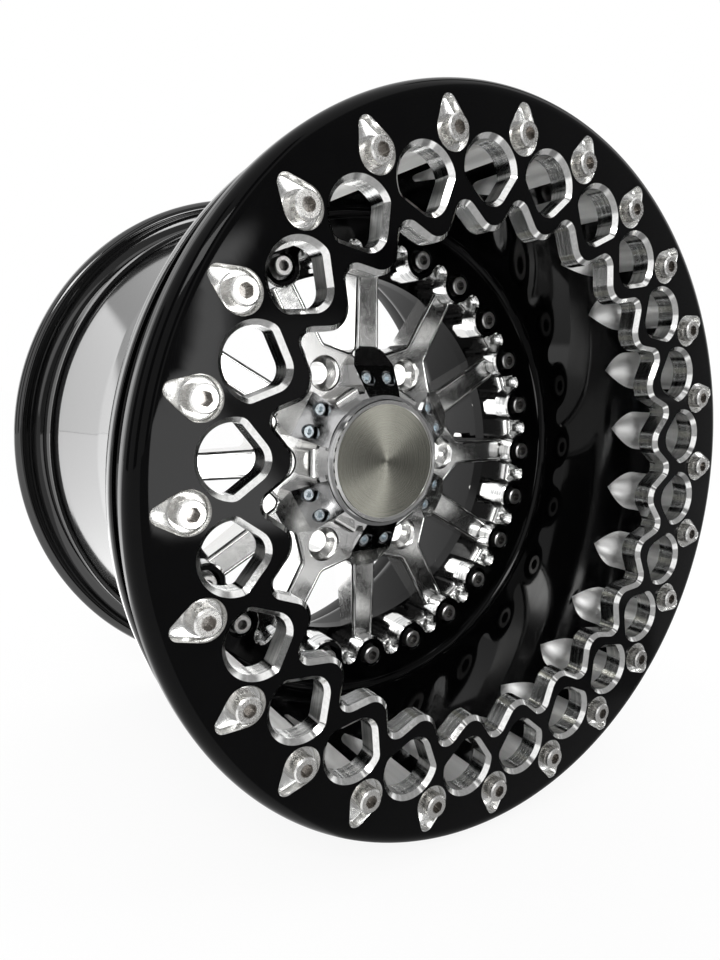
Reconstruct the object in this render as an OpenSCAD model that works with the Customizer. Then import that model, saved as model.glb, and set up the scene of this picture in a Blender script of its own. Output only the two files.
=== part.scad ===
/* [Wheel] */
// Radius of the inner wall of both barrels; all the round parts outside the hub follow it
barrel_in_r = 172; // [145:0.5:200]
// Thickness of the barrels' walls
barrel_wall = 6; // [4:0.5:8]
// How far the clamp ring's screw circle lies outside the barrels' inner wall
ring_bolt_out = 11; // [8:0.5:14]
// How far the flange's screw circle lies inside the barrels' inner wall
flange_bolt_in = 25.5; // [20:0.5:30]
// Number of screws round the clamp ring, and round the flange
bolt_count = 24; // [18:1:28]

/* [Clamp ring] */
// Front face of the clamp ring, measured from the mounting face
ring_face = -175; // [-190:0.5:-160]
// Thickness of the clamp ring
ring_thick = 12.7; // [8:0.1:20]
// How far the clamp ring reaches past its screw circle
ring_rim = 25.5; // [20:0.5:31]
// Rounding of the clamp ring's outer shoulder
ring_round = 9; // [4:0.5:11]
// Width of the cut edges round the windows and the inner edge
ring_bevel = 2.4; // [1:0.1:3]
// Narrowest web between two windows of the clamp ring
window_web = 10.9; // [8:0.1:16]
// How far the windows' middles lie inside the clamp ring's screw circle
window_drop = 19.5; // [17:0.5:22]
// Depth of the pocket that each ring screw stands in
pocket_depth = 5; // [3:0.1:7]

/* [Shells] */
// Front face of the inner flange
flange_face = -42.5; // [-48:0.5:-38]
// Thickness of the front shell's flange
flange_thick = 13.5; // [10:0.5:16]
// Thickness of the rear shell's flange
rear_flange_thick = 10; // [8:0.5:14]
// Back face of the wheel centre's outer band
band_back = -14; // [-18:0.5:-10]
// Height of both bead seats above the barrels' inner wall
bead_step = 19; // [16:0.5:22]
// Rearmost point of the rear rim
rear_edge = 144.5; // [120:0.5:160]
// Length of the ball-ended scallops in the front shell
scallop_len = 30; // [20:1:40]

/* [Wheel centre] */
// Front face of the hub and the spokes
hub_face = -31.5; // [-36:0.5:-28]
// Top of the raised boss under the cap
boss_top = -46; // [-50:0.5:-40]
// Radius of the hub bore
hub_bore_r = 39.05; // [35:0.05:42]
// Radius of the wheel nut circle
lug_r = 69.85; // [57:0.05:75]
// Number of wheel nut holes
lug_count = 6; // [5:1:8]
// Half the width of a spoke beside the hub
spoke_half_in = 10; // [8:0.5:12]
// Half the width of a spoke at the outer band
spoke_half_out = 8.8; // [7:0.2:9]
// Width of the cut edges along the spokes
spoke_bevel = 2.2; // [1:0.1:3]
// How far the outer band of the centre reaches past the flange's screw circle
centre_rim = 18.5; // [14:0.5:22]

/* [Cap] */
// Radius of the round cap face
cap_r = 43.2; // [38:0.1:46]
// Front of the round cap face
cap_face = -58.3; // [-64:0.1:-52]
// Half the width of a cover arm at its outer end
arm_half = 17; // [12:0.5:20]
// How far the cover arms reach past the boss
arm_run = 16.5; // [14:0.5:20]
// How far the ramps in front of the arms reach past the boss
ramp_run = 30; // [26:0.5:34]

/* [Fasteners] */
// Radius of the ring and flange screw heads
head_r = 6.5; // [5:0.1:7.5]
// Height of those heads
head_h = 8; // [6:0.1:9]
// Radius of the screw shanks
shank_r = 4; // [3:0.1:5]
// Radius of the washers
washer_r = 8; // [7:0.1:9]
// Thickness of the washers
washer_t = 1.8; // [1:0.1:3]
// Radius of the small screw heads on the cap
cap_head_r = 4.25; // [3.5:0.05:5]

/* [Hidden] */
$fn = 96;
// Extra length that a cutter passes a face by
over = 1;
// Room between a round part and its hole
slip = 0.05;
// Turn of one straight facet on a corner of radius 1; it falls with the root of the radius
facet_turn = 60;
bolt_turn = 360 / bolt_count;
barrel_out_r = barrel_in_r + barrel_wall;
ring_bolt_r = barrel_in_r + ring_bolt_out;
flange_bolt_r = barrel_in_r - flange_bolt_in;
ring_out_r = ring_bolt_r + ring_rim;
bead_r = barrel_in_r + bead_step;
lug_turn = 360 / lug_count;
// A wheel nut hole is at angle 0, so the cover's first arm is half a turn of the holes on
arm_first = lug_turn / 2;
spoke_count = 2 * lug_count;
ring_back = ring_face + ring_thick;
flange_back = flange_face + flange_thick;
rear_flange_back = band_back + rear_flange_thick;
pocket_floor = ring_face + pocket_depth;
bolt_hole_r = shank_r + 0.3;
// The front window: a large top arc, two side corners and a rounded tip, all at the wall
window_top_v = ring_bolt_r - window_drop;
window_top_r = window_top_v * sin(bolt_turn / 2) - window_web / 2;
window_side_r = 0.195 * window_top_r;
window_tip_v = window_top_v - 0.415 * window_top_r;
window_tip_r = 0.528 * window_top_r;
window_flank = 42.6;
// How far the two kinds of arc of a scalloped edge have their middles apart
function arc_span(tab_c, dip_c) = norm([dip_c * cos(bolt_turn / 2) - tab_c, dip_c * sin(bolt_turn / 2)]);
// The scalloped inner edge of the clamp ring, at the wall
ring_in_r = flange_bolt_r - 45;
tooth_v = flange_bolt_r - 0.4;
tooth_r = 11.4;
valley_v = flange_bolt_r - 3.2;
valley_r = arc_span(tooth_v, valley_v) - tooth_r - 2.6;
// The teardrop pocket
pocket_r = 9.6;
pocket_tip_r = 4;
pocket_tip_shift = 11.9;
// The recess for each flange screw
sink_r = washer_r + 1.2;
sink_floor = flange_face + 7.3;
// The scalloped inner edge of the front shell's flange, at the wall
tab_r = sink_r + 4.3;
dip_v = flange_bolt_r - 1.9;
dip_r = arc_span(flange_bolt_r, dip_v) - tab_r - 0.2;
flange_bevel = 1.2;
// The gaps between the spokes
boss_r = hub_bore_r + 10.95;
gap_near_v = boss_r + 24;
gap_far_v = lug_r + 18.15;
lobe_r = flange_bolt_r - 2.2;
stub_r = flange_bolt_r - 12.8;
band_in_r = flange_bolt_r - 14.5;
stub_half = 9.3;
stub_tip_half = 8.3;
// The cover's screws
cap_screw_v = boss_r + 7.5;
cap_screw_u = 8.6;
cap_sink_floor = hub_face - 7.3;
arm_reach = boss_r + arm_run;
ramp_reach = boss_r + ramp_run;
ramp_tip_half = arm_half - 6.5;
// The blocks between the cover's arms
block_reach = boss_r + 4.5;
block_side = boss_r * sin(lug_turn / 2) - arm_half + 1.5;
block_corner = 2.5;
block_round = 3.5;
cup_r = cap_r + 2.8;
cup_floor = cap_face + 6.3;
// The two shells meet outside the wheel centre
centre_out_r = flange_bolt_r + centre_rim;
seal_ring_r = (centre_out_r + barrel_out_r) / 2;
seal_wire_r = 1.6;
// Room round each seal ring in its groove
seal_slip = 0.3;
// The valve
valve_angle = 0;
valve_y = 60;
valve_in_face = barrel_in_r + 1.2;
valve_out_face = barrel_out_r - 1;

// shared outlines
function unit(v) = v / norm(v);
function arc_steps(a) = max(2, ceil(abs(a[4] - a[3]) * sqrt(a[2]) / facet_turn));
// Points of an outline made of arcs [x, y, radius, first angle, last angle], grown outward by d
function outline(arcs, d) = [
    for (a = arcs)
        for (i = [0:arc_steps(a)])
            let (t = a[3] + (a[4] - a[3]) * i / arc_steps(a), r = a[2] + d * sign(a[4] - a[3]))
                [a[0] + r * cos(t), a[1] + r * sin(t)]
];
// The arc that rounds corner b between corners a and c
function corner_arc(a, b, c, r) =
    let (
        back = unit(a - b),
        fwd = unit(c - b),
        half = acos(back * fwd) / 2,
        side = sign(cross(b - a, c - b)),
        mid = b + unit(back + fwd) * r / sin(half),
        start = atan2(side * back[0], -side * back[1])
    )
    [mid[0], mid[1], r, start, start + side * (180 - 2 * half)];
function turned(a, t) = [a[0] * cos(t) - a[1] * sin(t), a[0] * sin(t) + a[1] * cos(t), a[2], a[3] + t, a[4] + t];
// One scallop of an inner edge: a concave arc round a tab and a convex arc in the dip beside it
function scallop(tab_c, tab_rad, dip_c, dip_rad) =
    let (
        half_turn = bolt_turn / 2,
        dx = dip_c * cos(half_turn) - tab_c,
        dy = dip_c * sin(half_turn),
        span = norm([dx, dy]),
        lean = atan2(dy, dx) + acos((tab_rad + dip_rad) / span),
        full = lean > 180 ? lean - 360 : lean
    )
    [
        [tab_c, 0, tab_rad, 360 - full, full],
        turned([dip_c, 0, dip_rad, full - 180 - half_turn, 180 + half_turn - full], half_turn)
    ];
function scalloped_edge(tab_c, tab_rad, dip_c, dip_rad) = [
    for (k = [0:bolt_count - 1])
        for (a = scallop(tab_c, tab_rad, dip_c, dip_rad))
            turned(a, k * bolt_turn)
];

// The whole wheel is drawn round z, front down, and laid over so that its axis is y
module wheel() {
    rotate([-90, 0, 0])
        children();
}

module around(count, first = 0) {
    for (k = [0:count - 1])
        rotate([0, 0, first + k * 360 / count])
            children();
}

// A round bar from z0 to z1
module bar(r, z0, z1) {
    translate([0, 0, z0])
        cylinder(r = r, h = z1 - z0);
}

// A straight cut through an outline
module cut_through(arcs, z0, z1) {
    translate([0, 0, z0])
        linear_extrude(z1 - z0)
            polygon(outline(arcs, 0));
}

// A cut through an outline with a sloped edge: wide at the front face, straight below the bevel.
// The caps are fans round hub, a point that sees the whole outline
module bevelled_cut(arcs, face, bevel, deep, hub) {
    levels = [
        [for (p = outline(arcs, bevel + over)) [p[0], p[1], face - over]],
        [for (p = outline(arcs, 0)) [p[0], p[1], face + bevel]],
        [for (p = outline(arcs, 0)) [p[0], p[1], deep]]
    ];
    n = len(levels[0]);
    polyhedron(
        points = concat(levels[0], levels[1], levels[2], [[hub[0], hub[1], face - over], [hub[0], hub[1], deep]]),
        faces = concat(
            [for (i = [0:n - 1]) [3 * n, i, (i + 1) % n]],
            [for (i = [0:n - 1]) [3 * n + 1, 2 * n + (i + 1) % n, 2 * n + i]],
            [for (k = [0:1]) for (i = [0:n - 1])
                [k * n + i, (k + 1) * n + i, (k + 1) * n + (i + 1) % n, k * n + (i + 1) % n]]));
}

// clamp ring
window_reach = (sin(window_flank) * (window_top_v - window_tip_v) + window_tip_r - window_side_r)
    / (window_top_r - window_side_r);
window_psi = acos(window_reach) - window_flank;
window_side_x = (window_top_r - window_side_r) * cos(window_psi);
window_side_v = window_top_v + (window_top_r - window_side_r) * sin(window_psi);
window_arcs = [for (a = [
        [0, window_tip_v, window_tip_r, window_flank - 180, -window_flank],
        [window_side_x, window_side_v, window_side_r, -window_flank, window_psi],
        [0, window_top_v, window_top_r, window_psi, 180 - window_psi],
        [-window_side_x, window_side_v, window_side_r, 180 - window_psi, 180 + window_flank]
    ]) turned(a, -90)];
teeth_arcs = [for (a = scalloped_edge(tooth_v, tooth_r, valley_v, valley_r)) turned(a, bolt_turn / 2)];
pocket_lean = acos((pocket_r - pocket_tip_r) / pocket_tip_shift);
pocket_arcs = [
    [ring_bolt_r, 0, pocket_r, pocket_lean, 360 - pocket_lean],
    [ring_bolt_r + pocket_tip_shift, 0, pocket_tip_r, -pocket_lean, pocket_lean]
];

module ring_body() {
    rotate_extrude($fn = 180)
        union() {
            translate([ring_in_r, ring_face])
                square([ring_out_r - ring_round - ring_in_r, ring_thick]);
            translate([ring_in_r, ring_face + ring_round])
                square([ring_out_r - ring_in_r, ring_thick - ring_round]);
            translate([ring_out_r - ring_round, ring_face + ring_round])
                intersection() {
                    circle(r = ring_round);
                    translate([-1, -ring_round])
                        square([ring_round + 1, ring_round]);
                }
        }
}

module beadlock_ring() {
    color("black")
        wheel()
            difference() {
                ring_body();
                bevelled_cut(teeth_arcs, ring_face, ring_bevel, ring_back + over, [0, 0]);
                around(bolt_count, bolt_turn / 2)
                    bevelled_cut(window_arcs, ring_face, ring_bevel, ring_back + over, [window_top_v, 0]);
                around(bolt_count)
                    cut_through(pocket_arcs, ring_face - over, pocket_floor);
                around(bolt_count)
                    translate([ring_bolt_r, 0, 0])
                        bar(bolt_hole_r, pocket_floor - over, ring_back + over);
            }
}

// screws, washers and nuts
// A socket head screw whose head stands on z = seat and whose shank runs on to z = tip
module socket_screw(seat, tip, head, tall, shank, key) {
    round = head * 0.12;
    difference() {
        union() {
            bar(head, seat - tall + round, seat);
            translate([0, 0, seat - tall])
                cylinder(r1 = head - round, r2 = head, h = round);
            bar(shank, seat - over, tip - round);
            translate([0, 0, tip - round])
                cylinder(r1 = shank, r2 = shank - round, h = round);
        }
        translate([0, 0, seat - tall - over])
            cylinder(r = key, h = tall * 0.55 + over, $fn = 6);
    }
}

module flat_washer(z0, hole = bolt_hole_r) {
    difference() {
        bar(washer_r, z0, z0 + washer_t);
        bar(hole, z0 - over, z0 + washer_t + over);
    }
}

insert_r = shank_r + 1.5;
insert_len = 17;
key_r = 0.532 * head_r;
module beadlock_bolts() {
    color("silver")
        wheel()
            around(bolt_count)
                translate([ring_bolt_r, 0, 0])
                    socket_screw(pocket_floor - washer_t, ring_back + insert_len - over, head_r, head_h, shank_r, key_r);
}

module beadlock_washers() {
    color("gainsboro")
        wheel()
            around(bolt_count)
                translate([ring_bolt_r, 0, 0])
                    flat_washer(pocket_floor - washer_t);
}

module thread_inserts() {
    color("goldenrod")
        wheel()
            around(bolt_count)
                translate([ring_bolt_r, 0, 0])
                    difference() {
                        bar(insert_r, ring_back, ring_back + insert_len);
                        bar(shank_r + slip, ring_back - over, ring_back + insert_len + over);
                    }
}

nut_h = 7;
nut_r = shank_r + 3.5;
nut_seat = rear_flange_back + washer_t;
module assembly_bolts() {
    color("dimgray")
        wheel()
            around(bolt_count)
                translate([flange_bolt_r, 0, 0])
                    socket_screw(sink_floor - washer_t, nut_seat + nut_h + 2, head_r, head_h, shank_r, key_r);
}

module assembly_washers() {
    color("gray")
        wheel()
            around(bolt_count)
                translate([flange_bolt_r, 0, 0])
                    flat_washer(sink_floor - washer_t);
}

module nut_washers() {
    color("gray")
        wheel()
            around(bolt_count)
                translate([flange_bolt_r, 0, 0])
                    flat_washer(rear_flange_back);
}

module assembly_nuts() {
    color("dimgray")
        wheel()
            around(bolt_count)
                translate([flange_bolt_r, 0, nut_seat])
                    difference() {
                        cylinder(r = nut_r, h = nut_h, $fn = 6);
                        bar(shank_r + slip, -over, nut_h + over);
                    }
}

// front shell
flange_arcs = scalloped_edge(flange_bolt_r, tab_r, dip_v, dip_r);
clamp_front = ring_back + 25;
clamp_back = clamp_front + 9;
clamp_out_r = ring_out_r - 2.5;
grip_pitch = 1.4;
grip_depth = 0.7;
flange_fillet = 8;
flange_in_r = flange_bolt_r - 26.5;

module front_profile() {
    difference() {
        union() {
            polygon([
                [barrel_in_r, ring_back], [bead_r, ring_back], [bead_r, clamp_front - 3],
                [bead_r + 3, clamp_front], [clamp_out_r - 1, clamp_front], [clamp_out_r, clamp_front + 1],
                [clamp_out_r, clamp_back - 2], [clamp_out_r - 2, clamp_back], [bead_r + 2, clamp_back + 3],
                [barrel_out_r + 3, clamp_back + 18], [barrel_out_r, clamp_back + 28],
                [barrel_out_r, flange_back], [flange_in_r, flange_back],
                [flange_in_r, flange_face], [barrel_in_r, flange_face]
            ]);
            difference() {
                translate([barrel_in_r - flange_fillet, flange_face - flange_fillet])
                    square(flange_fillet + 0.5);
                translate([barrel_in_r - flange_fillet, flange_face - flange_fillet])
                    circle(r = flange_fillet);
            }
        }
        for (k = [0:4])
            translate([clamp_out_r - 3 - k * grip_pitch, clamp_front])
                polygon([[-grip_pitch / 2, -over / 2], [0, grip_depth], [grip_pitch / 2, -over / 2]]);
        translate([seal_ring_r, flange_back])
            circle(r = seal_wire_r);
    }
}

// A round-nosed milling cut that starts at z = 0
module scallop_cutter() {
    rotate_extrude()
        union() {
            translate([0, -over])
                square([window_top_r, scallop_len + over]);
            translate([0, scallop_len])
                intersection() {
                    circle(r = window_top_r);
                    square(window_top_r + over);
                }
        }
}

// The recess and the clearance hole of a flange screw
module sunk_hole() {
    rotate_extrude()
        polygon([[0, flange_face - over], [sink_r, flange_face - over], [sink_r, sink_floor],
            [bolt_hole_r, sink_floor], [bolt_hole_r, flange_back + over], [0, flange_back + over]]);
}

module outer_shell() {
    color("black")
        wheel()
            difference() {
                rotate_extrude($fn = 180)
                    front_profile();
                bevelled_cut(flange_arcs, flange_face, flange_bevel, flange_back + over, [0, 0]);
                around(bolt_count, bolt_turn / 2)
                    translate([window_top_v, 0, ring_back])
                        scallop_cutter();
                around(bolt_count)
                    translate([ring_bolt_r, 0, 0])
                        bar(insert_r + slip, ring_back - over, ring_back + insert_len);
                around(bolt_count)
                    translate([flange_bolt_r, 0, 0])
                        sunk_hole();
            }
}

module shell_seal() {
    color("darkslategray")
        wheel()
            rotate_extrude($fn = 180)
                translate([seal_ring_r, flange_back])
                    circle(r = seal_wire_r - seal_slip);
}

// rear shell
rear_seat_start = rear_edge - 29;
lip_r = 5.5;
rear_rim_r = bead_r + 15;
module rear_profile() {
    difference() {
        union() {
            polygon([
                [centre_out_r + slip, flange_back], [barrel_out_r, flange_back],
                [barrel_out_r, rear_seat_start - 22], [barrel_out_r + 3, rear_seat_start - 15],
                [bead_r - 1, rear_seat_start - 2], [bead_r + 0.8, rear_seat_start],
                [bead_r + 0.4, rear_seat_start + 3], [bead_r - 1.2, rear_seat_start + 5],
                [bead_r + 0.4, rear_edge - 11.5], [bead_r + 2.5, rear_edge - 9.5],
                [bead_r + 11, rear_edge - 9], [rear_rim_r, rear_edge - 9], [rear_rim_r, rear_edge - 2],
                [bead_r + 7, rear_edge - 3], [bead_r + 1, rear_edge - 3.2], [bead_r - 5, rear_edge - 5],
                [bead_r - 6.5, rear_edge - 9], [bead_r - 7.5, rear_edge - 25],
                [barrel_in_r + 2, rear_seat_start - 12], [barrel_in_r, rear_seat_start - 20],
                [barrel_in_r, rear_flange_back], [band_in_r, rear_flange_back],
                [band_in_r, band_back], [centre_out_r + slip, band_back]
            ]);
            translate([rear_rim_r, rear_edge - lip_r])
                circle(r = lip_r);
            difference() {
                translate([barrel_in_r - flange_fillet, rear_flange_back])
                    square([flange_fillet + 0.5, flange_fillet]);
                translate([barrel_in_r - flange_fillet, rear_flange_back + flange_fillet])
                    circle(r = flange_fillet);
            }
        }
        translate([seal_ring_r, flange_back])
            circle(r = seal_wire_r);
    }
}

module inner_shell() {
    color("black")
        wheel()
            difference() {
                rotate_extrude($fn = 180)
                    rear_profile();
                around(bolt_count)
                    translate([flange_bolt_r, 0, 0])
                        bar(bolt_hole_r, band_back - over, rear_flange_back + over);
                valve_frame() {
                    bar(valve_shank_r + 0.4, barrel_in_r - valve_spot_r, valve_out_face + over);
                    bar(valve_spot_r, barrel_in_r - valve_spot_r, valve_in_face);
                    bar(valve_spot_r, valve_out_face, barrel_out_r + valve_spot_r);
                }
            }
}

// wheel centre
function spoke_side(v) = spoke_half_in + (spoke_half_out - spoke_half_in) * (v - gap_near_v) / (stub_r - gap_near_v);
function polar(v, u, t) = [v * cos(t) - u * sin(t), v * sin(t) + u * cos(t)];
gap_mid = 180 / spoke_count;
gap_out_v = sqrt(lobe_r * lobe_r - spoke_half_out * spoke_half_out);
lobe_in_v = sqrt(lobe_r * lobe_r - stub_half * stub_half);
// Corners of one gap, from the spoke at angle 0 to the one with the wheel nut hole
gap_corners = [
    [polar(gap_near_v, spoke_half_in, 0), 4.5],
    [polar(gap_out_v, spoke_half_out, 0), 3.8],
    [polar(lobe_in_v, -stub_half, gap_mid), 3.8],
    [polar(stub_r, -stub_tip_half, gap_mid), 5.6],
    [polar(stub_r, stub_tip_half, gap_mid), 5.6],
    [polar(lobe_in_v, stub_half, gap_mid), 3.8],
    [polar(gap_out_v, -spoke_half_out, 2 * gap_mid), 3.8],
    [polar(gap_far_v, -spoke_side(gap_far_v), 2 * gap_mid), 4.5]
];
gap_n = len(gap_corners);
gap_arcs = [
    for (i = [0:gap_n - 1])
        corner_arc(gap_corners[(i + gap_n - 1) % gap_n][0], gap_corners[i][0],
            gap_corners[(i + 1) % gap_n][0], gap_corners[i][1])
];
// The lug hole: a straight mouth, a conical seat and the bore for the stud
lug_bore_r = 7.9;
lug_seat_r = lug_bore_r + 3.8;
lug_mouth_r = lug_seat_r + 1;
lug_seat_top = hub_face + 4.5;
lug_seat_end = lug_seat_top + 6.6;
pad_r = lug_r + 14.15;

module centre_profile() {
    polygon([
        [hub_bore_r, boss_top + 1], [hub_bore_r + 1, boss_top], [boss_r - 1.5, boss_top],
        [boss_r, boss_top + 1.5], [boss_r, hub_face], [band_in_r, hub_face + 0.8],
        [band_in_r, flange_back], [centre_out_r, flange_back], [centre_out_r, band_back],
        [band_in_r - 0.5, band_back], [pad_r + 8, -8], [pad_r + 1, -6], [pad_r, -1], [pad_r - 1, 0],
        [hub_bore_r, 0]
    ]);
}

module spoke_gap() {
    cut_through(gap_arcs, hub_face - 2, over);
    gap_bevel();
}

// The sloped edge of a gap, flush with its wall one bevel below the face
module gap_bevel() {
    low = outline(gap_arcs, spoke_bevel + over);
    high = outline(gap_arcs, -over);
    n = len(low);
    polyhedron(
        points = concat(
            [for (p = low) [p[0], p[1], hub_face - over]],
            [for (p = high) [p[0], p[1], hub_face + spoke_bevel + over]]),
        faces = concat(
            [[for (i = [0:n - 1]) i]],
            [[for (i = [0:n - 1]) 2 * n - 1 - i]],
            [for (i = [0:n - 1]) [i, i + n, (i + 1) % n + n, (i + 1) % n]]));
}

module lug_hole() {
    bar(lug_bore_r, hub_face - over, over);
    translate([0, 0, lug_seat_top])
        cylinder(r1 = lug_seat_r, r2 = lug_bore_r, h = lug_seat_end - lug_seat_top);
    bar(lug_seat_r, hub_face - over, lug_seat_top);
    translate([0, 0, hub_face - 0.5])
        cylinder(r1 = lug_mouth_r + 0.5, r2 = lug_seat_r, h = lug_mouth_r + 0.5 - lug_seat_r);
}

// The block that the boss grows into between two arms of the cover, rounded on its outer side
module boss_block() {
    intersection() {
        translate([0, 0, boss_top])
            linear_extrude(hub_face - boss_top + over)
                union() {
                    translate([hub_bore_r + 4, -block_side])
                        square([block_reach - hub_bore_r - 4 - block_corner, 2 * block_side]);
                    translate([hub_bore_r + 4, block_corner - block_side])
                        square([block_reach - hub_bore_r - 4, 2 * (block_side - block_corner)]);
                    for (s = [-1, 1])
                        translate([block_reach - block_corner, s * (block_side - block_corner)])
                            circle(r = block_corner, $fn = 20);
                }
        rotate([90, 0, 0])
            translate([0, 0, -block_side - over])
                linear_extrude(2 * block_side + 2 * over)
                    polygon(concat([[hub_bore_r + 3, hub_face + over], [hub_bore_r + 3, boss_top]],
                        [for (t = [90:-15:0]) [block_reach - block_round + block_round * cos(t),
                            boss_top + block_round - block_round * sin(t)]],
                        [[block_reach, hub_face + over]]));
    }
}

// The sloped foot in front of each arm of the cover
module arm_ramp() {
    intersection() {
        translate([0, 0, arm_end_top])
            linear_extrude(hub_face - arm_end_top + over)
                polygon([[arm_reach + slip, -arm_half], [ramp_reach, -ramp_tip_half], [ramp_reach, ramp_tip_half],
                    [arm_reach + slip, arm_half]]);
        rotate([90, 0, 0])
            translate([0, 0, -arm_half - over])
                linear_extrude(2 * arm_half + 2 * over)
                    polygon([[arm_reach + slip, hub_face + over], [arm_reach + slip, arm_end_top],
                        [ramp_reach, hub_face], [ramp_reach, hub_face + over]]);
    }
}

module wheel_center() {
    color("lightgray")
        wheel()
            difference() {
                union() {
                    rotate_extrude($fn = 180)
                        centre_profile();
                    around(lug_count, arm_first)
                        arm_ramp();
                    around(lug_count)
                        boss_block();
                }
                around(lug_count, arm_first)
                    spoke_gap();
                around(lug_count, arm_first)
                    mirror([0, 1, 0])
                        spoke_gap();
                around(lug_count)
                    translate([lug_r, 0, 0])
                        lug_hole();
                around(bolt_count)
                    translate([flange_bolt_r, 0, 0])
                        bar(bolt_hole_r, flange_back - over, band_back + over);
                around(lug_count, arm_first)
                    for (s = [-1, 1])
                        translate([cap_screw_v, s * cap_screw_u, 0])
                            bar(cap_shank_r + slip, hub_face - over, hub_face + cap_hole_deep);
            }
}

// cap
cap_shank_r = 2.5;
cap_head_h = 5;
cap_hole_deep = 14;
arm_in_half = arm_half - 8;
arm_root = cap_r - 23;
arm_start = cap_r + 1.3;
arm_top_in = cap_face + 4.1;
arm_slope = (hub_face - arm_top_in) / (ramp_reach - arm_start);
arm_end_top = hub_face - arm_slope * (ramp_reach - arm_reach);

module cover_arm() {
    intersection() {
        translate([0, 0, arm_top_in])
            linear_extrude(hub_face - arm_top_in)
                polygon([[arm_root, -arm_in_half], [arm_reach, -arm_half], [arm_reach, arm_half],
                    [arm_root, arm_in_half]]);
        rotate([90, 0, 0])
            translate([0, 0, -arm_half - over])
                linear_extrude(2 * arm_half + 2 * over)
                    polygon([[arm_root, hub_face], [arm_root, arm_top_in], [arm_start, arm_top_in],
                        [arm_reach, arm_end_top], [arm_reach, hub_face]]);
    }
}

module cap_spider() {
    color("slategray")
        wheel()
            difference() {
                union() {
                    bar(cup_r, arm_top_in - 0.8, boss_top);
                    around(lug_count, arm_first)
                        cover_arm();
                }
                bar(boss_r + slip, boss_top, hub_face + over);
                bar(cap_r + slip, arm_top_in - 2, cup_floor);
                around(lug_count, arm_first)
                    for (s = [-1, 1])
                        translate([cap_screw_v, s * cap_screw_u, 0]) {
                            bar(cap_head_r + 1.05, arm_top_in, cap_sink_floor);
                            bar(cap_shank_r + 0.2, arm_top_in, hub_face + over);
                        }
            }
}

seat_ring_r = cap_r - 8.2;
seat_wire_r = 1.2;
module cap_disc() {
    color("silver")
        wheel()
            difference() {
                rotate_extrude($fn = 180)
                    polygon([[0, cap_face + 0.6], [cap_r - 3.6, cap_face + 0.6], [cap_r - 3.6, cap_face + 1.4],
                        [cap_r - 2.8, cap_face + 1.4], [cap_r - 2.8, cap_face], [cap_r - 0.6, cap_face],
                        [cap_r, cap_face + 0.6], [cap_r, cup_floor], [0, cup_floor]]);
                rotate_extrude($fn = 180)
                    translate([seat_ring_r, cup_floor])
                        square([2 * seat_wire_r, 4 * seat_wire_r], center = true);
            }
}

module cap_seal() {
    color("darkslategray")
        wheel()
            rotate_extrude($fn = 180)
                translate([seat_ring_r, cup_floor - seat_wire_r])
                    circle(r = seat_wire_r - seal_slip);
}

module cap_screws() {
    color("lightsteelblue")
        wheel()
            around(lug_count, arm_first)
                for (s = [-1, 1])
                    translate([cap_screw_v, s * cap_screw_u, 0])
                        socket_screw(cap_sink_floor, hub_face + cap_hole_deep - 2, cap_head_r, cap_head_h, cap_shank_r,
                            0.54 * cap_head_r);
}

// valve
valve_shank_r = 3.9;
valve_spot_r = 9;
valve_bore_r = 1.9;
valve_tip = barrel_in_r - 32;
// A frame whose z axis points outward from the wheel's axis through the valve
module valve_frame() {
    rotate([0, 0, valve_angle])
        translate([0, 0, valve_y])
            rotate([0, 90, 0])
                children();
}

module valve_stem() {
    color("silver")
        wheel()
            valve_frame()
                difference() {
                    union() {
                        bar(valve_shank_r, valve_tip, valve_out_face + 3);
                        bar(7, valve_out_face + 2, valve_out_face + 5);
                    }
                    bar(valve_bore_r, valve_tip - over, valve_out_face + 6);
                }
}

module valve_seal() {
    color("darkslategray")
        wheel()
            valve_frame()
                difference() {
                    bar(7.5, valve_out_face, valve_out_face + 2);
                    bar(valve_shank_r + slip, valve_out_face - over, valve_out_face + 3);
                }
}

module valve_nut() {
    color("silver")
        wheel()
            valve_frame()
                difference() {
                    translate([0, 0, valve_in_face - 6])
                        cylinder(r = 8, h = 6, $fn = 6);
                    bar(valve_shank_r + slip, valve_in_face - 7, valve_in_face + over);
                }
}

module valve_core() {
    color("goldenrod")
        wheel()
            valve_frame()
                union() {
                    bar(valve_bore_r - slip, valve_tip + 2, valve_tip + 20);
                    bar(0.6, valve_tip + 0.5, valve_tip + 3);
                }
}

module valve_cap() {
    color("dimgray")
        wheel()
            valve_frame()
                difference() {
                    union() {
                        bar(5, valve_tip - 2, valve_tip + 8);
                        translate([0, 0, valve_tip - 3])
                            cylinder(r1 = 4, r2 = 5, h = 1);
                    }
                    bar(valve_shank_r + slip, valve_tip, valve_tip + 9);
                }
}

beadlock_ring();
beadlock_bolts();
beadlock_washers();
thread_inserts();
outer_shell();
shell_seal();
wheel_center();
assembly_bolts();
assembly_washers();
inner_shell();
nut_washers();
assembly_nuts();
cap_spider();
cap_seal();
cap_disc();
cap_screws();
valve_stem();
valve_seal();
valve_nut();
valve_core();
valve_cap();
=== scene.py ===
import math

import bmesh
import bpy
import numpy as np
from mathutils import Matrix, Vector
from mathutils.geometry import delaunay_2d_cdt


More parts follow.
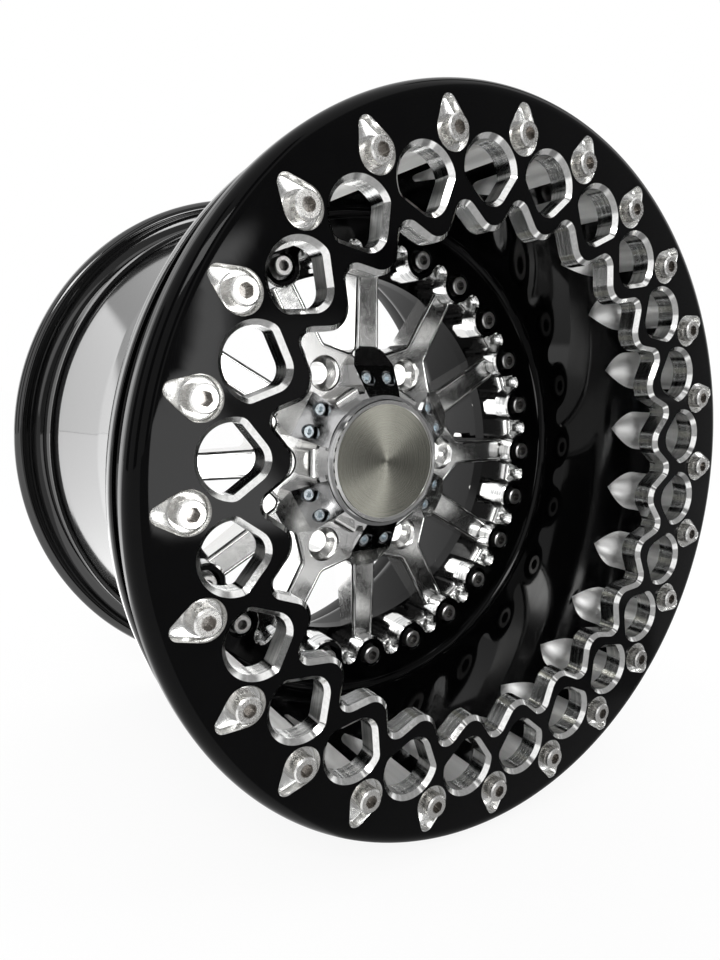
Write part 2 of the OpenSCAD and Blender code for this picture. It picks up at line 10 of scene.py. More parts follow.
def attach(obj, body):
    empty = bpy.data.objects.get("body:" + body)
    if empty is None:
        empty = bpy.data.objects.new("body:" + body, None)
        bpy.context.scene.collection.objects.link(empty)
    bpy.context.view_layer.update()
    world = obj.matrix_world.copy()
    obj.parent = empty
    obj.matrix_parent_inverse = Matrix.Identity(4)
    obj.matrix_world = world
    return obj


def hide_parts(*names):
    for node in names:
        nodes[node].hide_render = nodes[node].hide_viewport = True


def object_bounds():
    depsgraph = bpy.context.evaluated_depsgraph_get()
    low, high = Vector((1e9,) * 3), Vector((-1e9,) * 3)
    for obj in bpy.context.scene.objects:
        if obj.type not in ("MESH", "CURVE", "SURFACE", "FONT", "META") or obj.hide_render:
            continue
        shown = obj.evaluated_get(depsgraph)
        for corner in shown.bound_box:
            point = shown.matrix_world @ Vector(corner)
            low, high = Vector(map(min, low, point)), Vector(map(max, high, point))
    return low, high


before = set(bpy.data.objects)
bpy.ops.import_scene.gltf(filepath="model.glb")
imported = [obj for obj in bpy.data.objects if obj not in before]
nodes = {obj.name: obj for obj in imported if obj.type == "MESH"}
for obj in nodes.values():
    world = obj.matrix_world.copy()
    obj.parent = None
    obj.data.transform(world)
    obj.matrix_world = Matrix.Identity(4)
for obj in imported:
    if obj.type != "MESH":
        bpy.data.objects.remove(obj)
cad_lo, cad_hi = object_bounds()
scene = bpy.context.scene

# Numbers of the CAD source, in millimetres and degrees; depth grows from the front to the back
COUNT = 24
TURN = 360 / COUNT
BOLT_R, HOLE_R = 183.0, 4.3

# Clamp ring
RING_FACE, RING_BACK, RING_OUT, RING_ROUND, RING_BEVEL = -175.0, -162.3, 208.5, 9.0, 2.4
TOOTH_TAB_V, TOOTH_TAB_R, TOOTH_DIP_V, TOOTH_DIP_R = 146.1, 11.4, 143.3, 5.1
TOP_V, TOP_R, SIDE_R, TIP_V, TIP_R, FLANK = 163.5, 15.9, 3.1, 156.9, 8.4, 42.6
POCKET_R, POCKET_TIP_R, POCKET_REACH, POCKET_FLOOR = 9.6, 4.0, 11.9, -170.0

# Front shell
IN_R, OUT_R, NECK_R, RIM_R, FILLET = 172.0, 178.0, 191.0, 206.0, 8.0
RIM_FRONT = RING_BACK + 25
RIM_BACK = RIM_FRONT + 9
GROOVES, GROOVE_PITCH, GROOVE_DEPTH = 5, 1.4, 0.6
SCALLOP_END, FLANGE_FACE, FLANGE_BACK, FLANGE_BEVEL = -132.3, -42.5, -29.0, 1.2
FLANGE_BOLT_R, FLANGE_TAB_R, FLANGE_DIP_V, FLANGE_DIP_R = 146.5, 13.5, 144.6, 5.4
SINK_R, SINK_FLOOR = 9.2, -35.2

# Rear shell
REAR_EDGE, BEAD_R, REAR_BACK, BAND_BACK = 144.5, 191.0, -4.0, -14.0
CENTRE_OUT, BAND_IN = 165.05, 132.0

# Wheel centre
HUB_FACE, SPOKE_IN, SPOKE_OUT, NEAR_V, FAR_V = -31.5, 10.0, 8.8, 74.0, 88.0
LOBE_R, LOBE_HALF, STUB_R, STUB_HALF, SPOKE_PAIRS = 144.3, 9.3, 133.7, 8.3, 6
FOOT_ROUND, END_ROUND, STUB_ROUND = 4.5, 3.8, 5.6

# Finer forms that only this script has
POCKET_LIP, POCKET_CORNER, CORNER_MIDDLE = 0.45, 1.0, 0.3
SCALLOP_NOSE, NOSE_POWER, SINK_LIP = 20.0, 1.7, 0.35
FLARE, FLARE_CURVE, FLARE_START, CURL_R = 9.2, 0.35, 8.0, 5.5
EDGE_ROUND, EDGE_PROUD_SIDE, EDGE_PROUD_FACE = 2.35, 0.05, 0.04

# How finely the forms are cut; FINE is the degrees in a step of an arc with a radius of 1 mm
FINE, POCKET_FINE = 26.0, 30.0
RING_STEPS, SHELL_STEPS, REAR_STEPS, SINK_STEPS, HOLE_STEPS = 384, 256, 288, 48, 32
SCALLOP_STEPS, WALL_STEPS = 18, 8
MOUTH_STEPS, FLARE_STEPS, CURL_STEP = 14, 14, 10
SHARP, EDGE_SHARP = 24.0, 60.0
WELD, TINY, CHUNK, CDT_MARGIN = 2e-6, 1e-9, 2000, 1e-7


# Outlines, in millimetres in the wheel's plane
def arcs_outline(arcs, grow, fine=FINE):
    """Points along arcs (x, y, radius, first angle, last angle), grown outward."""
    points = []
    for x, y, radius, first, last in arcs:
        steps = max(3, math.ceil(abs(last - first) * math.sqrt(radius) / fine))
        grown = radius + grow * (1 if last > first else -1)
        for i in range(steps + 1):
            angle = math.radians(first + (last - first) * i / steps)
            points.append((x + grown * math.cos(angle), y + grown * math.sin(angle)))
    return np.array(points)


def turned_arc(arc, degrees):
    x, y, radius, first, last = arc
    c, s = math.cos(math.radians(degrees)), math.sin(math.radians(degrees))
    return (x * c - y * s, x * s + y * c, radius, first + degrees, last + degrees)


def corner_arc(a, b, c, radius):
    """The arc that rounds the corner b of the path a, b, c."""
    a, b, c = (np.array(point, float) for point in (a, b, c))
    back, ahead = (a - b) / np.linalg.norm(a - b), (c - b) / np.linalg.norm(c - b)
    half = math.degrees(math.acos(float(back @ ahead))) / 2
    side = math.copysign(1.0, (b - a)[0] * (c - b)[1] - (b - a)[1] * (c - b)[0])
    middle = b + (back + ahead) / np.linalg.norm(back + ahead) * radius / math.sin(math.radians(half))
    start = math.degrees(math.atan2(side * back[0], -side * back[1]))
    return (middle[0], middle[1], radius, start, start + side * (180 - 2 * half))


def scalloped(tab_v, tab_r, dip_v, dip_r, first):
    """A wavy loop: round tabs and round dips that run smoothly into each other."""
    half = TURN / 2
    dx = dip_v * math.cos(math.radians(half)) - tab_v
    dy = dip_v * math.sin(math.radians(half))
    lean = math.degrees(math.atan2(dy, dx) + math.acos((tab_r + dip_r) / math.hypot(dx, dy)))
    full = lean - 360 if lean > 180 else lean
    tab = (tab_v, 0, tab_r, 360 - full, full)
    dip = turned_arc((dip_v, 0, dip_r, full - 180 - half, 180 + half - full), half)
    return [turned_arc(arc, k * TURN + first) for k in range(COUNT) for arc in (tab, dip)]


def spun(points, degrees):
    c, s = math.cos(math.radians(degrees)), math.sin(math.radians(degrees))
    return np.stack([points[:, 0] * c - points[:, 1] * s, points[:, 0] * s + points[:, 1] * c], 1)


def around(loop, first=0.0):
    """A loop repeated round the wheel, once a turn step, starting at the angle first."""
    return [spun(loop, k * TURN + first) for k in range(COUNT)]


def circle(radius, steps, centre=0.0):
    """A round loop whose centre lies on the x axis."""
    t = np.arange(steps) * 2 * math.pi / steps
    return np.stack([centre + radius * np.cos(t), radius * np.sin(t)], 1)


def quarter(steps):
    """The angles of a quarter turn, in radians, for a rounded corner."""
    return np.linspace(0, math.pi / 2, steps + 1)


def window_arcs():
    reach = (math.sin(math.radians(FLANK)) * (TOP_V - TIP_V) + TIP_R - SIDE_R) / (TOP_R - SIDE_R)
    rise = math.degrees(math.acos(reach)) - FLANK
    side_u = (TOP_R - SIDE_R) * math.cos(math.radians(rise))
    side_v = TOP_V + (TOP_R - SIDE_R) * math.sin(math.radians(rise))
    upright = ((0, TIP_V, TIP_R, FLANK - 180, -FLANK),
               (side_u, side_v, SIDE_R, -FLANK, rise),
               (0, TOP_V, TOP_R, rise, 180 - rise),
               (-side_u, side_v, SIDE_R, 180 - rise, 180 + FLANK))
    return [turned_arc(arc, -90) for arc in upright]


def teeth_arcs():
    return scalloped(TOOTH_TAB_V, TOOTH_TAB_R, TOOTH_DIP_V, TOOTH_DIP_R, TURN / 2)


def pocket_arcs():
    lean = math.degrees(math.acos((POCKET_R - POCKET_TIP_R) / POCKET_REACH))
    return [(BOLT_R, 0, POCKET_R, lean, 360 - lean),
            (BOLT_R + POCKET_REACH, 0, POCKET_TIP_R, -lean, lean)]


def flange_arcs():
    return scalloped(FLANGE_BOLT_R, FLANGE_TAB_R, FLANGE_DIP_V, FLANGE_DIP_R, 0.0)


def gap_arcs():
    """One opening between two spokes, with the stub that stands into its outer end."""
    def polar(v, u, degrees):
        c, s = math.cos(math.radians(degrees)), math.sin(math.radians(degrees))
        return (v * c - u * s, v * s + u * c)

    far_half = SPOKE_IN + (SPOKE_OUT - SPOKE_IN) * (FAR_V - NEAR_V) / (STUB_R - NEAR_V)
    spoke_v = math.sqrt(LOBE_R ** 2 - SPOKE_OUT ** 2)
    lobe_v = math.sqrt(LOBE_R ** 2 - LOBE_HALF ** 2)
    corners = [(polar(NEAR_V, SPOKE_IN, 0), FOOT_ROUND),
               (polar(spoke_v, SPOKE_OUT, 0), END_ROUND),
               (polar(lobe_v, -LOBE_HALF, TURN), END_ROUND),
               (polar(STUB_R, -STUB_HALF, TURN), STUB_ROUND),
               (polar(STUB_R, STUB_HALF, TURN), STUB_ROUND),
               (polar(lobe_v, LOBE_HALF, TURN), END_ROUND),
               (polar(spoke_v, -SPOKE_OUT, 2 * TURN), END_ROUND),
               (polar(FAR_V, -far_half, 2 * TURN), FOOT_ROUND)]
    arcs = []
    for i, (corner, radius) in enumerate(corners):
        after = corners[(i + 1) % len(corners)][0]
        arcs.append(corner_arc(corners[i - 1][0], corner, after, radius))
    return arcs


# Mesh builder
def inside_loop(loop, points):
    """Which points lie inside a closed loop, by the edges crossed on the way to the right."""
    a, b = loop, np.roll(loop, -1, 0)
    found = np.zeros(len(points), bool)
    for i in range(0, len(points), CHUNK):
        x, y = points[i:i + CHUNK, 0][:, None], points[i:i + CHUNK, 1][:, None]
        spans = (a[:, 1] > y) != (b[:, 1] > y)
        with np.errstate(divide="ignore", invalid="ignore"):
            cross = a[:, 0] + (y - a[:, 1]) * (b[:, 0] - a[:, 0]) / (b[:, 1] - a[:, 1])
        found[i:i + CHUNK] = ((spans & (x < cross)).sum(1) % 2).astype(bool)
    return found


class Form:
    """Collects faces in wheel coordinates (x, y, depth in millimetres) and makes one welded mesh."""

    def __init__(self):
        self.verts, self.faces, self.slots = [], [], []

    def add(self, verts, faces, slot):
        base = len(self.verts)
        self.verts.extend(verts)
        self.faces.extend([tuple(base + i for i in face) for face in faces])
        self.slots.extend([slot] * len(faces))

    def loft(self, levels, slot, closed=True):
        """Quads between loops of equal length; each level is (loop, depth)."""
        count = len(levels[0][0])
        verts = [(point[0], point[1], depth) for loop, depth in levels for point in loop]
        faces = []
        for k in range(len(levels) - 1):
            for i in range(count if closed else count - 1):
                j = (i + 1) % count
                faces.append((k * count + i, k * count + j, (k + 1) * count + j, (k + 1) * count + i))
        self.add(verts, faces, slot)

    def lathe(self, profile, steps, slot):
        self.loft([(circle(radius, steps), depth) for radius, depth in profile], slot)

    def plane(self, loops, depth, slot):
        """A flat face with holes: what lies inside an odd number of the loops."""
        points = np.concatenate(loops)
        edges, base = [], 0
        for loop in loops:
            count = len(loop)
            edges += [(base + i, base + (i + 1) % count) for i in range(count)]
            base += count
        result = delaunay_2d_cdt([Vector(point) for point in points.tolist()], edges, [], 0, CDT_MARGIN)
        verts, triangles = np.array([list(v) for v in result[0]]), np.array(result[2])
        centres = verts[triangles].mean(1)
        inside = np.zeros(len(centres), bool)
        for loop in loops:
            inside ^= inside_loop(loop, centres)
        flat = [(x, y, depth) for x, y in verts.tolist()]
        self.add(flat, [tuple(face) for face in triangles[inside].tolist()], slot)

    def make(self, name, finishes, sharp=SHARP):
        mesh = bpy.data.meshes.new(name)
        mesh.from_pydata([(x / 1000, z / 1000, -y / 1000) for x, y, z in self.verts], [], self.faces)
        mesh.polygons.foreach_set("material_index", self.slots)
        work = bmesh.new()
        work.from_mesh(mesh)
        bmesh.ops.remove_doubles(work, verts=work.verts, dist=WELD)
        bmesh.ops.dissolve_degenerate(work, edges=work.edges, dist=WELD / 2)
        bmesh.ops.recalc_face_normals(work, faces=work.faces)
        work.to_mesh(mesh)
        work.free()
        mesh.polygons.foreach_set("use_smooth", [True] * len(mesh.polygons))
        mesh.set_sharp_from_angle(angle=math.radians(sharp))
        for finish in finishes:
            mesh.materials.append(finish)
        piece = bpy.data.objects.new(name, mesh)
        scene.collection.objects.link(piece)
        return piece


# Clamp ring with windows, pockets and a zig-zag inner edge
def build_ring(finishes):
    """Materials: black, bevel, wall, pocket."""
    black, bevel, wall, pocket = range(4)
    form = Form()
    teeth, window, drop = teeth_arcs(), window_arcs(), pocket_arcs()
    hole = circle(HOLE_R, HOLE_STEPS, BOLT_R)
    bevel_foot = RING_FACE + RING_BEVEL
    windows = around(arcs_outline(window, RING_BEVEL), TURN / 2)
    pockets = around(arcs_outline(drop, POCKET_LIP, POCKET_FINE))
    inner_edge = arcs_outline(teeth, RING_BEVEL)
    form.plane([circle(RING_OUT - RING_ROUND, RING_STEPS), inner_edge, *windows, *pockets], RING_FACE, black)
    form.loft([(inner_edge, RING_FACE), (arcs_outline(teeth, 0), bevel_foot)], bevel)
    form.loft([(arcs_outline(teeth, 0), bevel_foot), (arcs_outline(teeth, 0), RING_BACK)], wall)
    shoulder = [(RING_OUT - RING_ROUND + RING_ROUND * math.sin(t),
                 RING_FACE + RING_ROUND - RING_ROUND * math.cos(t)) for t in quarter(12)]
    form.lathe(shoulder, RING_STEPS, black)
    form.lathe([shoulder[-1], (RING_OUT, RING_BACK)], RING_STEPS, black)

    window_levels = ((RING_BEVEL, RING_FACE), (0, bevel_foot), (0, RING_BACK))
    pocket_levels = ((POCKET_LIP, RING_FACE), (0, RING_FACE + POCKET_LIP), (0, POCKET_FLOOR - POCKET_CORNER),
                     (-CORNER_MIDDLE, POCKET_FLOOR - CORNER_MIDDLE), (-POCKET_CORNER, POCKET_FLOOR))
    for k in range(COUNT):
        turn = k * TURN
        levels = [(spun(arcs_outline(window, grow), turn + TURN / 2), depth) for grow, depth in window_levels]
        form.loft(levels[:2], bevel)
        form.loft(levels[1:], wall)
        levels = [(spun(arcs_outline(drop, grow, POCKET_FINE), turn), depth) for grow, depth in pocket_levels]
        form.loft(levels[:2], bevel)
        form.loft(levels[1:], pocket)
        rim = spun(hole, turn)
        form.plane([levels[-1][0], rim], POCKET_FLOOR, pocket)
        form.loft([(rim, POCKET_FLOOR), (rim, RING_BACK)], wall)
    windows = around(arcs_outline(window, 0), TURN / 2)
    back = [circle(RING_OUT, RING_STEPS), arcs_outline(teeth, 0), *windows, *around(hole)]
    form.plane(back, RING_BACK, black)
    return form.make("clamp_ring_body", finishes)


# Front shell with pointed scallops in its mouth
def mouth_row(depth):
    """One level of the mouth: the points across a scallop, and along the wall up to the next one."""
    end_r = IN_R - TOP_V
    run = min(1.0, max(0.0, depth - SCALLOP_END) / SCALLOP_NOSE)
    radius = math.sqrt(end_r ** 2 + (TOP_R ** 2 - end_r ** 2) * (1.0 - run ** NOSE_POWER) ** 2)
    half = math.acos(min(1.0, (IN_R ** 2 + TOP_V ** 2 - radius ** 2) / (2 * IN_R * TOP_V)))
    swing = math.asin(min(1.0, IN_R * math.sin(half) / radius)) if half > TINY else 0.0
    if TOP_V > IN_R * math.cos(half):
        swing = math.pi - swing
    across = [(TOP_V + radius * math.cos(t), radius * math.sin(t))
              for t in np.linspace(-swing, swing, SCALLOP_STEPS + 1)]
    along = [(IN_R * math.cos(t), IN_R * math.sin(t))
             for t in np.linspace(half, math.radians(TURN) - half, WALL_STEPS + 1)]
    return np.array(across), np.array(along)


def rim_profile():
    """The front shell's outside: neck, grooved face of the rim, and the fall to the barrel."""
    profile = [(NECK_R, RING_BACK), (NECK_R, RIM_FRONT - 3), (NECK_R + 0.6, RIM_FRONT - 1.3),
               (NECK_R + 1.6, RIM_FRONT - 0.35), (NECK_R + 3, RIM_FRONT)]
    first_r = RIM_R - 3 - (GROOVES - 1) * GROOVE_PITCH - GROOVE_PITCH / 2
    profile += [(first_r, RIM_FRONT)]
    for i in range(GROOVES):
        profile += [(first_r + i * GROOVE_PITCH + GROOVE_PITCH / 2, RIM_FRONT + GROOVE_DEPTH),
                    (first_r + (i + 1) * GROOVE_PITCH, RIM_FRONT)]
    profile += [(RIM_R - 1, RIM_FRONT), (RIM_R - 0.3, RIM_FRONT + 0.3), (RIM_R, RIM_FRONT + 1),
                (RIM_R, RIM_BACK - 2), (RIM_R - 0.6, RIM_BACK - 0.6), (RIM_R - 2, RIM_BACK),
                (NECK_R + 5, RIM_BACK + 0.9), (NECK_R + 2, RIM_BACK + 3), (NECK_R - 3, RIM_BACK + 7),
                (OUT_R + 3.5, RIM_BACK + 17), (OUT_R + 1.2, RIM_BACK + 22), (OUT_R, RIM_BACK + 28),
                (OUT_R, FLANGE_BACK)]
    return profile


def build_front_shell(finishes):
    """Materials: inside paint, scallop, wall, bevel, outside paint."""
    paint, scallop, wall, bevel, outside = range(5)
    form = Form()
    depths = [RING_BACK, SCALLOP_END]
    depths += [SCALLOP_END + SCALLOP_NOSE * math.sin(t) for t in quarter(MOUTH_STEPS)[1:]]
    rows = [mouth_row(depth) for depth in depths]
    for k in range(COUNT):
        turn = k * TURN + TURN / 2
        for j in range(len(depths) - 1):
            for part, slot in ((0, scallop), (1, paint)):
                near, far = spun(rows[j][part], turn), spun(rows[j + 1][part], turn)
                form.loft([(near, depths[j]), (far, depths[j + 1])], slot, closed=False)

    # The plain inner wall and its fillet have the same columns as the mouth
    columns = [k * TURN + TURN / 2 + TURN * i / WALL_STEPS for k in range(COUNT) for i in range(WALL_STEPS)]
    cos_columns, sin_columns = np.cos(np.radians(columns)), np.sin(np.radians(columns))

    def hoop(radius):
        return np.stack([radius * cos_columns, radius * sin_columns], 1)

    wall_end = FLANGE_FACE - FILLET
    wall_middle = -90.0
    form.loft([(hoop(IN_R), depths[-1]), (hoop(IN_R), wall_middle), (hoop(IN_R), wall_end)], paint)
    form.loft([(hoop(IN_R - FILLET + FILLET * math.cos(t)), wall_end + FILLET * math.sin(t))
               for t in quarter(9)], paint)

    # Flange with counterbored screw holes
    flange = flange_arcs()
    bevel_foot = FLANGE_FACE + FLANGE_BEVEL
    sinks = around(circle(SINK_R + SINK_LIP, SINK_STEPS, FLANGE_BOLT_R))
    form.plane([hoop(IN_R - FILLET), arcs_outline(flange, FLANGE_BEVEL), *sinks], FLANGE_FACE, paint)
    bevel_edge, flange_edge = arcs_outline(flange, FLANGE_BEVEL), arcs_outline(flange, 0)
    form.loft([(bevel_edge, FLANGE_FACE), (flange_edge, bevel_foot)], bevel)
    form.loft([(flange_edge, bevel_foot), (flange_edge, FLANGE_BACK)], wall)
    for k in range(COUNT):
        lip, sink, hole = (spun(circle(radius, SINK_STEPS, FLANGE_BOLT_R), k * TURN)
                           for radius in (SINK_R + SINK_LIP, SINK_R, HOLE_R))
        form.loft([(lip, FLANGE_FACE), (sink, FLANGE_FACE + SINK_LIP), (sink, SINK_FLOOR),
                   (hole, SINK_FLOOR), (hole, FLANGE_BACK)], paint)
    holes = around(circle(HOLE_R, SINK_STEPS, FLANGE_BOLT_R))
    form.plane([circle(OUT_R, SHELL_STEPS), arcs_outline(flange, 0), *holes], FLANGE_BACK, paint)

    form.lathe(rim_profile(), SHELL_STEPS, outside)
    mouth = []
    for k in range(COUNT):
        mouth += [spun(part, k * TURN + TURN / 2)[:-1] for part in rows[0]]
    form.plane([circle(NECK_R, SHELL_STEPS), np.concatenate(mouth)], RING_BACK, paint)
    return form.make("front_shell_body", finishes)


# Rear shell, whose barrel widens softly towards the bead seat
def rear_outside():
    seat = REAR_EDGE - 29
    flare_end = seat - 27
    profile = [(CENTRE_OUT, FLANGE_BACK), (OUT_R, FLANGE_BACK), (OUT_R, FLARE_START)]
    for t in np.linspace(0, 1, FLARE_STEPS + 1)[1:]:
        widening = FLARE * (FLARE_CURVE * t * t + (1 - FLARE_CURVE) * t)
        profile.append((OUT_R + widening, FLARE_START + t * (flare_end - FLARE_START)))
    profile += [(BEAD_R - 2.6, seat - 20), (BEAD_R - 1.2, seat - 8), (BEAD_R - 0.4, seat - 2),
                (BEAD_R + 0.5, seat - 0.5), (BEAD_R + 0.9, seat + 1), (BEAD_R + 0.5, seat + 3),
                (BEAD_R - 1.0, seat + 5), (BEAD_R + 0.4, REAR_EDGE - 13), (BEAD_R + 1.0, REAR_EDGE - 11.2),
                (BEAD_R + 2.6, REAR_EDGE - 10), (BEAD_R + 6, REAR_EDGE - 9.4),
                (BEAD_R + 11, REAR_EDGE - 9.6), (BEAD_R + 13, REAR_EDGE - 10.3)]
    for t in np.radians(np.arange(-110, 91, CURL_STEP)):
        profile.append((BEAD_R + 15 + CURL_R * math.cos(t), REAR_EDGE - CURL_R + CURL_R * math.sin(t)))
    profile += [(BEAD_R + 7, REAR_EDGE - 3), (BEAD_R + 1, REAR_EDGE - 3.2)]
    return profile


def rear_inside(start):
    seat = REAR_EDGE - 29
    profile = [start, (BEAD_R - 5, REAR_EDGE - 5), (BEAD_R - 6.5, REAR_EDGE - 9),
               (BEAD_R - 7.5, REAR_EDGE - 25), (IN_R + 2, seat - 12), (IN_R, seat - 20),
               (IN_R, REAR_BACK + FILLET)]
    for t in quarter(8)[1:]:
        profile.append((IN_R - FILLET + FILLET * math.cos(t), REAR_BACK + FILLET - FILLET * math.sin(t)))
    return profile


def build_rear_shell(finishes):
    """Materials: outer paint, inner paint."""
    outer, inner = range(2)
    form = Form()
    outside = rear_outside()
    form.lathe(outside, REAR_STEPS, outer)
    form.lathe(rear_inside(outside[-1]), REAR_STEPS, inner)
    holes = around(circle(HOLE_R, HOLE_STEPS, FLANGE_BOLT_R))
    bore = circle(BAND_IN, REAR_STEPS)
    form.plane([circle(IN_R - FILLET, REAR_STEPS), bore, *holes], REAR_BACK, inner)
    form.plane([circle(CENTRE_OUT, REAR_STEPS), bore, *holes], BAND_BACK, inner)
    form.lathe([(BAND_IN, REAR_BACK), (BAND_IN, BAND_BACK)], REAR_STEPS, inner)
    form.lathe([(CENTRE_OUT, BAND_BACK), (CENTRE_OUT, FLANGE_BACK)], REAR_STEPS, inner)
    for hole in holes:
        form.loft([(hole, REAR_BACK), (hole, BAND_BACK)], inner)
    return form.make("rear_shell_body", finishes)


# Rounded polished edges that lie over the sloped edges of the centre's openings
def build_spoke_edges(finishes):
    """The first and last level of each edge are tucked under the centre's surface."""
    face_tuck = (EDGE_ROUND + 0.5, HUB_FACE + 0.3)
    side_tuck = (0.4, HUB_FACE + EDGE_ROUND + 0.9)
    levels = [(EDGE_ROUND - (EDGE_ROUND + EDGE_PROUD_SIDE) * math.sin(t),
               HUB_FACE + EDGE_ROUND - (EDGE_ROUND + EDGE_PROUD_FACE) * math.cos(t)) for t in quarter(7)]
    arcs = gap_arcs()
    form = Form()
    for k in range(SPOKE_PAIRS):
        turn = 2 * TURN + k * 360 / SPOKE_PAIRS
        for mirror in (1, -1):
            form.loft([(spun(arcs_outline(arcs, grow) * np.array([1, mirror]), turn), depth)
                       for grow, depth in (face_tuck, *levels, side_tuck)], 0)
    return form.make("spoke_edges", finishes, EDGE_SHARP)


# Node graph helper
NOISE_LOW, NOISE_HIGH = 0.3, 0.7


class Graph:
    """A node tree, with short calls for the nodes used here."""

    def __init__(self, tree):
        self.nodes = tree.nodes
        self.links = tree.links

    def node(self, kind, **props):
        made = self.nodes.new(kind)
        for key, value in props.items():
            setattr(made, key, value)
        return made

    def put(self, socket, value):
        if isinstance(value, bpy.types.NodeSocket):
            self.links.new(value, socket)
        else:
            socket.default_value = value

    def split(self, vector):
        made = self.node("ShaderNodeSeparateXYZ")
        self.put(made.inputs[0], vector)
        return made.outputs

    def math(self, operation, a, b=0.0):
        made = self.node("ShaderNodeMath", operation=operation)
        self.put(made.inputs[0], a)
        self.put(made.inputs[1], b)
        return made.outputs[0]

    def plus(self, a, b):
        return self.math("ADD", a, b)

    def times(self, a, b):
        return self.math("MULTIPLY", a, b)

    def length(self, a, b):
        return self.math("SQRT", self.plus(self.times(a, a), self.times(b, b)))

    def remap(self, x, ends, kind="LINEAR"):
        """From one range to another; ends are the first range's two ends and the second's."""
        made = self.node("ShaderNodeMapRange", interpolation_type=kind)
        self.put(made.inputs["Value"], x)
        for key, value in zip(("From Min", "From Max", "To Min", "To Max"), ends):
            made.inputs[key].default_value = value
        return made.outputs[0]

    def between(self, noise, low, high):
        """A number from low to high, as the noise has it."""
        return self.remap(noise, (NOISE_LOW, NOISE_HIGH, low, high))

    def step(self, x, low, high):
        """Smoothly from 0 at low to 1 at high; falling, where low is the greater."""
        ends = (high, low, 1.0, 0.0) if low > high else (low, high, 0.0, 1.0)
        return self.remap(x, ends, "SMOOTHSTEP")

    def band(self, x, low, high, soft):
        """1 between low and high, 0 outside."""
        return self.times(self.step(x, low - soft, low + soft), self.step(x, high + soft, high - soft))

    def mix(self, factor, a, b):
        """Number mix."""
        made = self.node("ShaderNodeMix", data_type="FLOAT")
        self.put(made.inputs[0], factor)
        self.put(made.inputs[2], a)
        self.put(made.inputs[3], b)
        return made.outputs[0]

    def blend(self, factor, a, b):
        """Colour mix."""
        made = self.node("ShaderNodeMix", data_type="RGBA")
        self.put(made.inputs[0], factor)
        for socket, value in ((made.inputs[6], a), (made.inputs[7], b)):
            self.put(socket, value if isinstance(value, bpy.types.NodeSocket) else (*value, 1.0))
        return made.outputs[2]

    def mottled(self, noise, low, high):
        """A colour between two, as the noise has it."""
        return self.blend(self.step(noise, NOISE_LOW, NOISE_HIGH), low, high)

    def noise(self, vector, detail, roughness):
        made = self.node("ShaderNodeTexNoise")
        self.put(made.inputs["Vector"], vector)
        made.inputs["Scale"].default_value = 1.0
        made.inputs["Detail"].default_value = detail
        made.inputs["Roughness"].default_value = roughness
        return made.outputs["Fac"]

    def grain(self, scale, detail, roughness):
        """Noise through the piece, with a scale for each axis in waves per metre."""
        made = self.node("ShaderNodeMapping")
        self.put(made.inputs["Vector"], self.place)
        made.inputs["Scale"].default_value = scale
        return self.noise(made.outputs[0], detail, roughness)

    def rings(self, distance, waves, detail, roughness):
        """Noise that changes with a distance alone, so that it runs in rings."""
        made = self.node("ShaderNodeCombineXYZ")
        self.put(made.inputs[0], self.times(distance, waves))
        return self.noise(made.outputs[0], detail, roughness)

    def finish(self, color, roughness):
        self.put(self.surface.inputs["Base Color"], color)
        self.put(self.surface.inputs["Roughness"], roughness)

    def bump(self, height, strength, distance):
        made = self.node("ShaderNodeBump")
        made.inputs["Strength"].default_value = strength
        made.inputs["Distance"].default_value = distance
        self.put(made.inputs["Height"], height)
        self.put(self.surface.inputs["Normal"], made.outputs[0])


def start_material(name, color, metallic, **sockets):
    """The graph of a new material, with the place on the wheel at hand."""
    made = bpy.data.materials.new(name)
    made.use_nodes = True
    made.diffuse_color = (*color, 1.0)
    g = Graph(made.node_tree)
    g.material = made
    g.surface = made.node_tree.nodes["Principled BSDF"]
    g.surface.inputs["Metallic"].default_value = metallic
    for key, value in sockets.items():
        g.surface.inputs[key.replace("_", " ")].default_value = value
    g.place = g.node("ShaderNodeTexCoord").outputs["Object"]
    g.x, _, g.z = g.split(g.place)
    g.radius = g.length(g.x, g.z)
    g.angle = g.math("ARCTAN2", g.z, g.x)
    return g


# Materials
def gloss_black(name, gloss):
    """Deep gloss paint with a trace of dust and orange peel."""
    g = start_material(name, (0.0035, 0.0035, 0.004), 0.0, Specular_IOR_Level=gloss)
    dust = g.grain((50, 50, 50), 4.0, 0.6)
    color = g.blend(dust, (0.0008, 0.0008, 0.001), (0.0022, 0.0022, 0.0024))
    g.finish(color, g.between(dust, 0.035, 0.075))
    g.bump(g.grain((220, 220, 220), 2.0, 0.5), 0.05, 0.00004)
    return g.material


def polished(name, low, high, rough, wave):
    """Polished forged metal with long, faint waves."""
    g = start_material(name, (0.86, 0.86, 0.855), 1.0)
    waves = g.grain((14, 14, 14), 1.0, 0.4)
    fine = g.grain((300, 90, 300), 2.0, 0.5)
    g.finish(g.mottled(waves, low, high), g.between(fine, *rough))
    g.bump(waves, wave, 0.002)
    return g.material


def screw_distance(g, circle_r):
    """Distance in the wheel's plane from the nearest of the screws that stand on one circle, in metres."""
    turn = 2 * math.pi / COUNT
    fold = g.math("SUBTRACT", g.math("FLOORED_MODULO", g.plus(g.angle, turn / 2), turn), turn / 2)
    across = g.times(g.radius, g.math("SINE", fold))
    along = g.math("SUBTRACT", g.times(g.radius, g.math("COSINE", fold)), circle_r)
    return g.length(across, along)


HEAD_R, KEY_R = 0.0065, 0.00346


